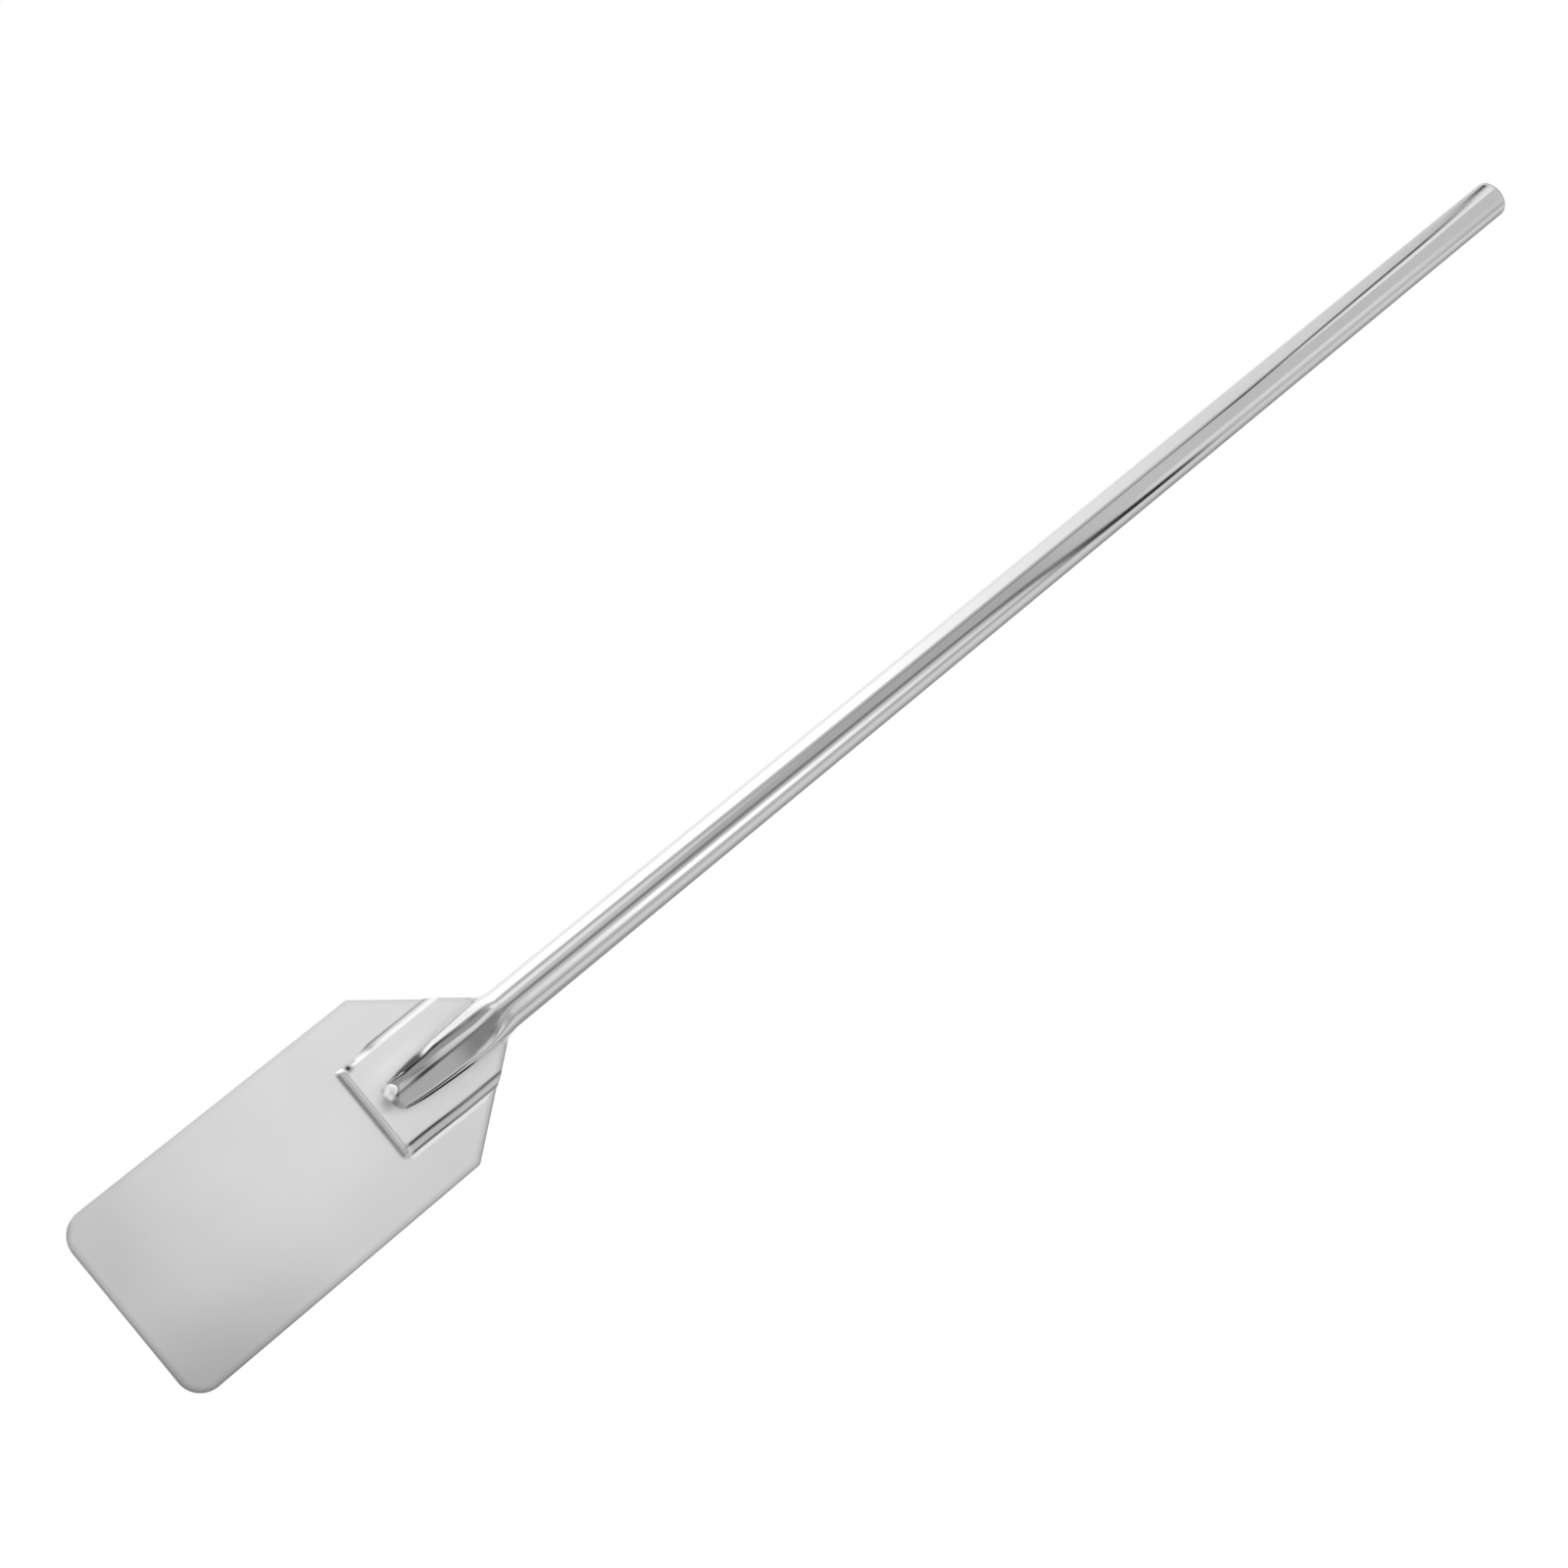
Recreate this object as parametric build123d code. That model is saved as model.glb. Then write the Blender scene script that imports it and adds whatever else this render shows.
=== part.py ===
from build123d import *
import math
import os

# Mixing paddle: a pressed sheet blade, a round tube handle and the welds that hold them.
# Millimetres. +Z runs up the handle from the blade's end edge, X is the blade's width,
# and -Y is the front, the side towards which the blade's panel is raised.
# The origin is on the handle's axis, level with the blade's end edge.

# Overall
OVERALL_LENGTH = 1219.2
BLADE_WIDTH = 114.3
TUBE_DIAMETER = 25.4
SHEET_THICKNESS = 1.5
TUBE_WALL = 1.2

# Blade outline: a rectangle whose shoulders slope in towards a point on the handle's axis
SHOULDER_START = 200.0
SHOULDER_APEX = 277.5
TONGUE_HALF_WIDTH = 10.0
END_CORNER_RADIUS = 15.0
SHOULDER_CORNER_RADIUS = 4.0

# Raised panel: pressed towards the front, with sloping walls on three sides
PANEL_START = 168.2
PANEL_HALF_WIDTH = 29.7
PANEL_RISE = 3.0
PANEL_WALL_RUN = 4.8

# Tube's slotted end, squeezed flatter and narrower down to its mouth over the panel
MOUTH_START = 182.5
MOUTH_HALF_WIDTH = 6.4
MOUTH_HALF_DEPTH = 5.2
FLARE_HEIGHT = 256.0
FLARE_HALF_WIDTH = 13.3
PRESS_END = 262.0
ROUND_HEIGHT = 268.0
SLOT_END = 264.0
SLOT_OVERRUN = 2.0
TAPER_STATIONS = 12
FLARE_STATIONS = 4

# End cap: a domed disc with a spigot, welded to the tube and ground flush
CAP_THICKNESS = 2.4
CAP_DOME_RISE = 0.2
CAP_EDGE_RADIUS = 0.5
CAP_SPIGOT_LENGTH = 4.0
CAP_SPIGOT_CLEARANCE = 0.1
CAP_GROOVE = 0.6

# Welds
SEAM_LEG = 0.8
SEAM_TOE_GAP = 1.0
MOUTH_PLUG_DEPTH = 2.0
MOUTH_PLUG_MARGIN = 0.3
NOSE_BEAD_CENTRE = (-3.1, 185.0)
NOSE_BEAD_SIZE = (4.9, 6.5, 5.1)
SHOULDER_WELD_RADIUS = 16.0
SHOULDER_WELD_THICKNESS = 3.0
SHOULDER_WELD_LAP = 1.2

TUBE_RADIUS = TUBE_DIAMETER / 2
BLADE_HALF_WIDTH = BLADE_WIDTH / 2
HALF_SHEET = SHEET_THICKNESS / 2
TUBE_END = OVERALL_LENGTH - CAP_THICKNESS
SHOULDER_SLOPE = (SHOULDER_APEX - SHOULDER_START) / BLADE_HALF_WIDTH


def shoulder_height(x):
    """Height of the blade's sloping shoulder at a distance x from the axis."""
    return SHOULDER_APEX - SHOULDER_SLOPE * x


def upright_plane(y):
    """A plane facing the front at depth y, drawn on in X and height."""
    return Plane.XZ.offset(-y)


def outline_face(y):
    """The blade's flat outline at depth y, with rounded corners."""
    tongue_top = shoulder_height(TONGUE_HALF_WIDTH)
    corners = [
        (-BLADE_HALF_WIDTH, 0),
        (BLADE_HALF_WIDTH, 0),
        (BLADE_HALF_WIDTH, SHOULDER_START),
        (TONGUE_HALF_WIDTH, tongue_top),
        (-TONGUE_HALF_WIDTH, tongue_top),
        (-BLADE_HALF_WIDTH, SHOULDER_START),
    ]
    flat = make_face(Polyline(*corners, close=True))
    levels = flat.vertices().group_by(Axis.Y)
    flat = fillet(levels[0], END_CORNER_RADIUS)
    shoulders = [v for v in flat.vertices() if abs(v.Y - SHOULDER_START) < HALF_SHEET]
    flat = fillet(shoulders, SHOULDER_CORNER_RADIUS)
    return upright_plane(y) * flat


def panel_block(front_y, back_y, inset):
    """A tapered block for the panel: narrow at front_y, wide at back_y, open at the top."""
    slope = PANEL_WALL_RUN / PANEL_RISE
    sheet_front = PANEL_RISE - HALF_SHEET
    faces = []
    for y in (back_y, front_y):
        shrink = (sheet_front - y) * slope + inset
        half_width = PANEL_HALF_WIDTH - shrink
        bottom = PANEL_START + shrink
        height = SHOULDER_APEX - bottom
        centre = (0, bottom + height / 2)
        faces.append(upright_plane(y) * Pos(*centre) * Rectangle(2 * half_width, height))
    return loft(faces, ruled=True)


def make_blade():
    """One pressed sheet: flat blade, three sloping walls and the raised panel."""
    sheet_centre = PANEL_RISE
    wall_angle = math.atan2(PANEL_RISE, PANEL_WALL_RUN)
    wall_inset = SHEET_THICKNESS / math.sin(wall_angle)
    envelope = extrude(outline_face(0), 2 * PANEL_RISE, both=True)
    flat = extrude(outline_face(sheet_centre), HALF_SHEET, both=True)
    raised = panel_block(-HALF_SHEET, sheet_centre - HALF_SHEET, 0)
    recess = panel_block(HALF_SHEET, sheet_centre + HALF_SHEET, wall_inset)
    return (flat + (raised & envelope)) - recess


def smooth(share, start, end):
    """A soft S-shaped change from start to end as share goes from 0 to 1."""
    return start + (end - start) * share * share * (3 - 2 * share)


def taper_half_depth(height):
    """Half the squeezed tube's depth at a height, up to where it is round again."""
    share = min((height - MOUTH_START) / (PRESS_END - MOUTH_START), 1.0)
    return MOUTH_HALF_DEPTH + (TUBE_RADIUS - MOUTH_HALF_DEPTH) * math.sin(math.pi / 2 * share)


def tube_stations():
    """(height, half width, half depth) of the tube's squeezed end, from mouth to round tube."""
    stations = []
    for i in range(TAPER_STATIONS):
        share = i / TAPER_STATIONS
        height = MOUTH_START + share**2 * (FLARE_HEIGHT - MOUTH_START)
        half_width = MOUTH_HALF_WIDTH + share * (FLARE_HALF_WIDTH - MOUTH_HALF_WIDTH)
        stations.append((height, half_width, taper_half_depth(height)))
    for i in range(FLARE_STATIONS + 1):
        share = i / FLARE_STATIONS
        height = FLARE_HEIGHT + share * (ROUND_HEIGHT - FLARE_HEIGHT)
        half_width = smooth(share, FLARE_HALF_WIDTH, TUBE_RADIUS)
        stations.append((height, half_width, taper_half_depth(height)))
    return stations


def tube_body(inset):
    """The tube as a solid bar, its surface inset from the outside."""
    sections = []
    for height, half_width, half_depth in tube_stations():
        sections.append(Pos(0, 0, height) * Ellipse(half_width - inset, half_depth - inset))
    length = TUBE_END - ROUND_HEIGHT
    straight = Cylinder(TUBE_RADIUS - inset, length, align=(Align.CENTER, Align.CENTER, Align.MIN))
    return loft(sections) + Pos(0, 0, ROUND_HEIGHT) * straight


def make_tube(outer):
    """The handle: a hollow tube, slotted where it straddles the sheet, bevelled at the cap."""
    slot_height = SLOT_END - MOUTH_START + SLOT_OVERRUN
    slot = Pos(0, 0, SLOT_END - slot_height / 2) * Box(TUBE_DIAMETER * 2, SHEET_THICKNESS, slot_height)
    return outer - tube_body(TUBE_WALL) - slot - groove_ring()


def groove_ring():
    """The three-sided ring of weld metal between the tube and its cap."""
    profile = [
        (TUBE_RADIUS - CAP_GROOVE, TUBE_END),
        (TUBE_RADIUS, TUBE_END - CAP_GROOVE),
        (TUBE_RADIUS, TUBE_END + CAP_GROOVE),
    ]
    return revolve(Plane.XZ * make_face(Polyline(*profile, close=True)), Axis.Z)


def make_end_cap():
    """A domed disc, its rim level with the tube, on a spigot inside the tube."""
    spigot_radius = TUBE_RADIUS - TUBE_WALL - CAP_SPIGOT_CLEARANCE
    spigot_end = TUBE_END - CAP_SPIGOT_LENGTH
    outline = [
        (0, OVERALL_LENGTH),
        (0, spigot_end),
        (spigot_radius, spigot_end),
        (spigot_radius, TUBE_END),
        (TUBE_RADIUS - CAP_GROOVE, TUBE_END),
        (TUBE_RADIUS, TUBE_END + CAP_GROOVE),
        (TUBE_RADIUS, OVERALL_LENGTH),
    ]
    disc = revolve(Plane.XZ * make_face(Polyline(*outline, close=True)), Axis.Z)
    dome_radius = (TUBE_RADIUS**2 + CAP_DOME_RISE**2) / (2 * CAP_DOME_RISE)
    cap = disc & Pos(0, 0, OVERALL_LENGTH - dome_radius) * Sphere(dome_radius)
    rim_height = OVERALL_LENGTH - CAP_DOME_RISE
    rim = [e for e in cap.edges() if abs(e.center().Z - rim_height) < CAP_DOME_RISE / 10]
    return fillet(rim, CAP_EDGE_RADIUS)


def front_half():
    """The space in front of the panel's front face."""
    depth = TUBE_DIAMETER
    block = Box(2 * BLADE_WIDTH, depth, OVERALL_LENGTH)
    return Pos(0, -HALF_SHEET - depth / 2, OVERALL_LENGTH / 2) * block


def make_nose_beads(tube):
    """Weld that plugs the tube's mouth under a rounded lump, on each side of the sheet."""
    x, height = NOSE_BEAD_CENTRE
    lump = Pos(x, 0, height) * scale(Sphere(1), by=NOSE_BEAD_SIZE)
    half_sizes = (MOUTH_HALF_WIDTH - MOUTH_PLUG_MARGIN, MOUTH_HALF_DEPTH - MOUTH_PLUG_MARGIN)
    plug = extrude(Ellipse(*half_sizes), MOUTH_PLUG_DEPTH / 2, both=True)
    blob = lump + Pos(0, 0, MOUTH_START) * plug
    front = (blob & front_half()) - tube
    return blob, {"front": front, "back": mirror(front, Plane.XZ)}


def make_seam_welds(outer, nose_blob):
    """Fillet beads along the tube's edges on the panel, one for each side and face."""
    top = shoulder_height(FLARE_HALF_WIDTH + SEAM_LEG) - SEAM_TOE_GAP
    sections = []
    for height, half_width, _ in tube_stations():
        if height > FLARE_HEIGHT:
            break
        toe = half_width + SEAM_LEG
        crown = HALF_SHEET + SEAM_LEG
        profile = [
            (toe, 0),
            (toe, -HALF_SHEET),
            (half_width - SEAM_LEG / 4, -crown),
            (0, -crown),
            (0, 0),
        ]
        sections.append(Pos(0, 0, height) * make_face(Polyline(*profile, close=True)))
    skirt = loft(sections, ruled=True)
    cut_height = OVERALL_LENGTH - top
    above = Pos(0, 0, top + cut_height / 2) * Box(BLADE_WIDTH, BLADE_WIDTH, cut_height)
    bead = (skirt & front_half()) - outer - above
    welds = {}
    for side, uncut in (("right", bead), ("left", mirror(bead, Plane.YZ))):
        front = uncut - nose_blob
        welds["front_" + side] = front
        welds["back_" + side] = mirror(front, Plane.XZ)
    return welds


def make_shoulder_welds(outer, blade, seams):
    """Concave beads that fill the corners between the blade's shoulders and the tube."""
    lean = math.atan2(BLADE_HALF_WIDTH, SHOULDER_APEX - SHOULDER_START)
    tangent = SHOULDER_WELD_RADIUS * math.tan(lean / 2)
    corner = Vector(FLARE_HALF_WIDTH, shoulder_height(FLARE_HALF_WIDTH))
    down = Vector(math.sin(lean), -math.cos(lean))
    inward = Vector(-math.cos(lean), -math.sin(lean))
    low = corner + down * tangent
    high = corner + Vector(0, tangent)
    centre = high + Vector(SHOULDER_WELD_RADIUS, 0)
    middle_angle = math.pi + lean / 2
    middle_offset = Vector(math.cos(middle_angle), math.sin(middle_angle))
    middle = centre + middle_offset * SHOULDER_WELD_RADIUS
    inside = Vector(TONGUE_HALF_WIDTH, high.Y)
    low_inside = low + inward * SHOULDER_WELD_LAP
    base = Vector(TONGUE_HALF_WIDTH, low_inside.Y)
    edges = ThreePointArc(low, middle, high) + Polyline(high, inside, base, low_inside, low)
    bead = extrude(Plane.XZ * make_face(edges), SHOULDER_WELD_THICKNESS / 2, both=True)
    right = bead - outer - blade
    for seam in seams.values():
        right = right - seam
    return {"right": right, "left": mirror(right, Plane.YZ)}


def make_parts():
    outer = tube_body(0)
    blade = make_blade()
    tube = make_tube(outer)
    nose_blob, nose_beads = make_nose_beads(tube)
    seams = make_seam_welds(outer, nose_blob)
    parts = {
        "blade": blade,
        "handle_tube": tube,
        "handle_end_cap": make_end_cap(),
        "end_cap_weld": groove_ring(),
    }
    for face, bead in nose_beads.items():
        parts["nose_weld_" + face] = bead
    for place, bead in seams.items():
        parts["seam_weld_" + place] = bead
    for side, bead in make_shoulder_welds(outer, blade, seams).items():
        parts["shoulder_weld_" + side] = bead
    return parts


os.makedirs("parts", exist_ok=True)
for node, solid in make_parts().items():
    export_step(solid, f"parts/{node}.step")
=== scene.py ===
import math

import bmesh
import bpy
from mathutils import Matrix, Vector


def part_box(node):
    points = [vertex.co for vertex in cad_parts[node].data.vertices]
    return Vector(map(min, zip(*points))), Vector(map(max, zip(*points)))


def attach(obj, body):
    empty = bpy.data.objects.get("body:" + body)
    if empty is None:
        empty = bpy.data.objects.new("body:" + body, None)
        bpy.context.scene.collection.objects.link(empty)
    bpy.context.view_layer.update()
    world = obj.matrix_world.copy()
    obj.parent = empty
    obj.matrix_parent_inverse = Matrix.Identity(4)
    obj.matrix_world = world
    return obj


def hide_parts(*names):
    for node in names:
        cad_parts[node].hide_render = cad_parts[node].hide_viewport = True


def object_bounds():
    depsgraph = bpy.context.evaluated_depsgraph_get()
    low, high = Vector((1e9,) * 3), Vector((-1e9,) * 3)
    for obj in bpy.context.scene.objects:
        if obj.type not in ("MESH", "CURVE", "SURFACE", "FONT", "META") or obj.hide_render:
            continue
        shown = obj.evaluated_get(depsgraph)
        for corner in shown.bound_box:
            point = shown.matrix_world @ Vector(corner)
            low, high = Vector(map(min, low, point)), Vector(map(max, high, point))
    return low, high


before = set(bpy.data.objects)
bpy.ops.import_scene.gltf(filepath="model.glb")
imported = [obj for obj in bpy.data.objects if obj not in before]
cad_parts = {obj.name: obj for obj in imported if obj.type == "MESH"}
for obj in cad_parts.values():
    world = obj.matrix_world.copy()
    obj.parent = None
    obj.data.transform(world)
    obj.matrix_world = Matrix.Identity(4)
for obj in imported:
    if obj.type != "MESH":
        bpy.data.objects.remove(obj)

# The looks of a stainless mixing paddle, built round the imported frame.
# Metres, in the row frame: +Z runs up the handle, X is the blade's width, -Y is the front.

MM = 0.001
cad_low, cad_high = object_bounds()
blade_low, blade_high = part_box("blade")
_, tube_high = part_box("handle_tube")
cap_low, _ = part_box("handle_end_cap")
_, groove_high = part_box("end_cap_weld")
_, shoulder_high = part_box("shoulder_weld_right")

# Sizes read from the frame
OVERALL_LENGTH = cad_high.z
TUBE_RADIUS = tube_high.y
BLADE_HALF_WIDTH = blade_high.x
BLADE_TOP = blade_high.z
HALF_SHEET = -blade_low.y
SHEET_CENTRE = blade_high.y - HALF_SHEET
TUBE_END = tube_high.z
GROOVE = groove_high.z - TUBE_END
SPIGOT_BOTTOM = cap_low.z
SHOULDER_BEAD_HALF = shoulder_high.y

# Sizes that repeat the design's own
TONGUE_HALF_WIDTH = 10.0 * MM
SHOULDER_START = 200.0 * MM
END_CORNER_RADIUS = 15.0 * MM
SHOULDER_CORNER_RADIUS = 4.0 * MM
PANEL_START = 168.2 * MM
PANEL_HALF_WIDTH = 29.7 * MM
PANEL_WALL_RUN = 4.8 * MM
TUBE_WALL = 1.2 * MM
FLARE_HEIGHT = 256.0 * MM
FLARE_HALF_WIDTH = 13.3 * MM
PRESS_END = 262.0 * MM
ROUND_HEIGHT = 268.0 * MM
SLOT_END = 264.0 * MM

# Sizes that follow the photo where the design is plainer: the tube's slanted mouth, which starts
# 1.5 mm higher than the design's and is 0.4 mm deeper on each side, and the seams' uneven legs
TAPER_TIP = 179.0 * MM
TAPER_POWER = 0.2
MOUTH_START = 184.0 * MM
MOUTH_HALF_DEPTH = 5.6 * MM
MOUTH_SETBACK = 0.6 * MM
MOUTH_CORNER = 3.0 * MM
NOSE_REACH = 2.2 * MM
RIGHT_SEAM_LEG = 0.95 * MM
LEFT_SEAM_LEG = 0.45 * MM

# The shoulder's edge, from the blade's side to the tongue's top corner, and where it would meet the axis
SHOULDER_SLOPE = (BLADE_TOP - SHOULDER_START) / (BLADE_HALF_WIDTH - TONGUE_HALF_WIDTH)
SHOULDER_APEX = SHOULDER_START + SHOULDER_SLOPE * BLADE_HALF_WIDTH


# -------------------- node helpers


class Graph:
    """Short calls for building a shader node tree."""

    def __init__(self, tree):
        self.tree = tree
        self.tree.nodes.clear()

    def node(self, kind, inputs=None, **settings):
        made = self.tree.nodes.new(kind)
        for key, value in settings.items():
            setattr(made, key, value)
        for key, value in (inputs or {}).items():
            self.feed(made.inputs[key], value)
        return made

    def feed(self, socket, value):
        if isinstance(value, bpy.types.NodeSocket):
            self.tree.links.new(value, socket)
        else:
            socket.default_value = value

    def math(self, operation, *values):
        made = self.node("ShaderNodeMath", operation=operation)
        for socket, value in zip(made.inputs, values):
            self.feed(socket, value)
        return made.outputs[0]

    def span(self, value, start, end, low=0.0, high=1.0, smooth=True):
        """low before start, high after end, and a soft or straight change between them."""
        kind = "SMOOTHSTEP" if smooth else "LINEAR"
        inputs = {"Value": value, "From Min": start, "From Max": end, "To Min": low, "To Max": high}
        return self.node("ShaderNodeMapRange", inputs, interpolation_type=kind).outputs[0]

    def blend(self, share, first, second):
        """first at share 0, second at share 1."""
        return self.math("ADD", self.math("MULTIPLY", self.math("SUBTRACT", 1.0, share), first),
                         self.math("MULTIPLY", share, second))


# -------------------- studio


# The studio's surroundings are placed by azimuth, in degrees from the front towards +X, and by
# height, in degrees from the horizon. They show only in the steel.
ROOM_LEVEL = 0.80
FILL_GAIN = 2.75
LOW_MIRROR = -5.0
LOW_FRONT_LEVEL = 0.12
LOW_FRONT_SIDES = (22.0, 42.0)
LOW_FRONT_TOP = (-12.0, -5.0)
LOW_FRONT_BOTTOM = (-60.0, -52.0)
FLOOR_LEVEL = 1.15
FLOOR_EDGE = (-64.0, -56.0)
# A card replaces the light inside its outline. Its middle, half width and level are each a
# number, or a path of (height, value) points, and soft is the softness of its sides. It runs from
# its low height to its high one, with ends that fade. Later cards lie over earlier ones.
CARDS = {
    "left_softbox": {
        "middle": [(23, -122), (33, -116), (40, -110)],
        "half_width": [(23, 57), (33, 66), (40, 64)],
        "level": [(7.4, 0.9), (8.6, 1.5), (20, 1.4), (23, 1.65), (31, 1.7), (34, 1.35), (38, 1.12),
                  (42, 0.98), (44, 0.85)],
        "soft": 4, "low": -60, "high": 50, "fade": 3,
    },
    "left_softbox_edge": {
        "middle": -160, "half_width": 50,
        "level": [(33, 1.25), (44, 0.85)],
        "soft": 14, "low": -60, "high": 50, "fade": 3,
    },
    "front_shade": {
        "middle": -10, "half_width": 30,
        "level": 0.6,
        "soft": 7, "low": 27, "high": 35.6, "fade": 0.8,
    },
    "front_light": {
        "middle": -34, "half_width": 10,
        "level": [(23, 1.3), (29, 0.85)],
        "soft": 5, "low": 21, "high": 29, "fade": 1.5,
    },
    "low_left_grey": {
        "middle": -44, "half_width": 17,
        "level": 0.46,
        "soft": 4, "low": -20, "high": 20, "fade": 1.5,
    },
    "low_front_light": {
        "middle": -24, "half_width": 5.5,
        "level": [(5.3, 0.9), (5.9, 0.55), (6.4, 0.36), (7.4, 0.32), (8.6, 0.66), (9.9, 0.88),
                  (13.2, 1.0), (20, 1.1)],
        "soft": 3, "low": -12, "high": 21, "fade": 1.5,
    },
    "low_front_grey": {
        "middle": 18, "half_width": 14,
        "level": [(9.9, 0.62), (11.5, 0.53), (13.2, 0.39), (15.2, 0.32), (17.3, 0.37), (19.4, 0.5),
                  (21, 0.6)],
        "soft": 4, "low": -20, "high": 21.5, "fade": 1,
    },
    "low_right_light": {
        "middle": 40, "half_width": 10,
        "level": 0.78,
        "soft": 4, "low": -20, "high": 20, "fade": 1,
    },
    "low_right_gap": {
        "middle": 90, "half_width": 38,
        "level": 0.06,
        "soft": 4, "low": -30, "high": 13, "fade": 1,
    },
    "right_softbox": {
        "middle": [(23, 36), (27, 41), (31, 46), (35, 52)],
        "half_width": [(23, 13), (31, 10), (35, 6)],
        "level": [(22, 0.9), (25, 1.2), (27, 1.8), (29, 1.6), (31, 1.35), (33, 1.1), (35, 0.95)],
        "soft": 5, "low": 14, "high": 35.5, "fade": 0.8,
    },
    "high_right_light": {
        "middle": 46, "half_width": 11,
        "level": [(42.6, 1.06), (44.6, 0.84)],
        "soft": 6, "low": 37.5, "high": 50, "fade": 0.6,
    },
    "right_line": {
        "middle": 68, "half_width": 5,
        "level": [(23, 0.5), (27, 0.7), (33, 0.6)],
        "soft": 3, "low": 14, "high": 36.5, "fade": 1,
    },
    "far_right_light": {
        "middle": 93, "half_width": 12,
        "level": [(20, 0.8), (24, 0.93)],
        "soft": 4, "low": 14, "high": 60, "fade": 1,
    },
    "high_right_line": {
        "middle": 75,
        "half_width": [(43.2, 4), (44.8, 12)],
        "level": [(43.2, 0.72), (44.8, 0.66)],
        "soft": 3, "low": 38.5, "high": 50, "fade": 1,
    },
    "far_right_line": {
        "middle": 119, "half_width": 8,
        "level": [(24, 0.5), (28, 0.66)],
        "soft": 4, "low": -60, "high": 60, "fade": 1,
    },
    "back_right": {
        "middle": 152, "half_width": 25,
        "level": 0.42,
        "soft": 4, "low": -60, "high": 60, "fade": 1,
    },
    "low_front_gap": {
        "middle": [(5.3, 0), (5.9, -2.5), (7.4, -2.5), (9.9, 0)],
        "half_width": [(5.3, 11), (5.9, 13.2), (7.4, 13.2), (9.9, 11)],
        "level": [(5.2, 0.35), (5.9, 0.12), (6.4, 0.08), (7.4, 0.08), (8.6, 0.2), (10, 0.25),
                  (20, 0.32)],
        "soft": 4, "low": -12, "high": 22, "fade": 1,
    },
    "front_gap": {
        "middle": [(23, 1), (27, 6), (30, 13), (33, 18), (34, 22), (35, 30), (36.2, 58), (37.2, 69),
                   (38.5, 74)],
        "half_width": [(23, 8), (30, 8), (34, 7), (36, 16), (37.2, 13), (38.2, 10)],
        "level": [(23, 0.36), (33, 0.28), (35, 0.15), (36, 0.1), (37, 0.0)],
        "soft": 5, "low": 22, "high": 38.7, "fade": 0.5,
    },
    "left_gap": {
        "middle": [(7.6, -90), (8.6, -56), (14, -54), (21, -49), (23.4, -51), (27, -46), (30, -37),
                   (33, -33), (39, -31), (40, -30), (41, -38), (41.8, -45), (42.7, -50), (43.3, -53),
                   (43.7, -54), (44, -57), (44.4, -63), (44.6, -70), (44.8, -80), (45, -102)],
        "half_width": [(7.6, 44), (8.6, 7), (20, 6), (23, 4), (39, 4), (40, 6), (43.3, 6), (43.8, 8),
                       (44.6, 7), (45, 14)],
        "level": [(7.2, 0.5), (7.7, 0.06), (8, 0.03), (8.6, 0.1), (11.5, 0.04), (13, 0.1), (17, 0.3),
                  (19, 0.5), (21, 0.66), (23, 0.68), (27, 0.6), (33, 0.42), (38, 0.4), (40, 0.0),
                  (41, 0.2), (43, 0.05), (43.7, 0.0)],
        "soft": 4, "low": -60, "high": 50, "fade": 2,
    },
    "left_gap_light": {
        "middle": [(41.5, -28), (43, -32), (43.7, -33), (44.3, -42), (45, -55)],
        "half_width": [(41.5, 5), (43, 8), (43.7, 8), (44.3, 10), (45, 20)],
        "level": 1.25,
        "soft": 3, "low": 41, "high": 50, "fade": 0.6,
    },
    "overhead_softbox": {
        "middle": 0, "half_width": 200,
        "level": 1.2,
        "soft": 1, "low": 54, "high": 100, "fade": 3,
    },
}


def path_value(graph, height, points):
    """A value that follows straight stretches between (height, value) points, or a plain number."""
    if isinstance(points, (int, float)):
        return points
    value = points[0][1]
    for (low, before), (high, after) in zip(points, points[1:]):
        step = graph.span(height, low, high, 0.0, after - before, smooth=False)
        value = graph.math("ADD", value, step)
    return value


def studio_card(graph, light, azimuth, height, card):
    """The light with one soft card or gap of the surroundings laid over it."""
    middle = path_value(graph, height, card["middle"])
    half_width = path_value(graph, height, card["half_width"])
    offset = graph.math("ABSOLUTE", graph.math("SUBTRACT", azimuth, middle))
    inside = graph.math("SUBTRACT", half_width, offset)
    across = graph.span(inside, -card["soft"], card["soft"])
    start = graph.span(height, card["low"] - card["fade"], card["low"] + card["fade"])
    end = graph.span(height, card["high"] - card["fade"], card["high"] + card["fade"], 1.0, 0.0)
    share = graph.math("MULTIPLY", across, graph.math("MULTIPLY", start, end))
    return graph.blend(share, light, path_value(graph, height, card["level"]))


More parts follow.
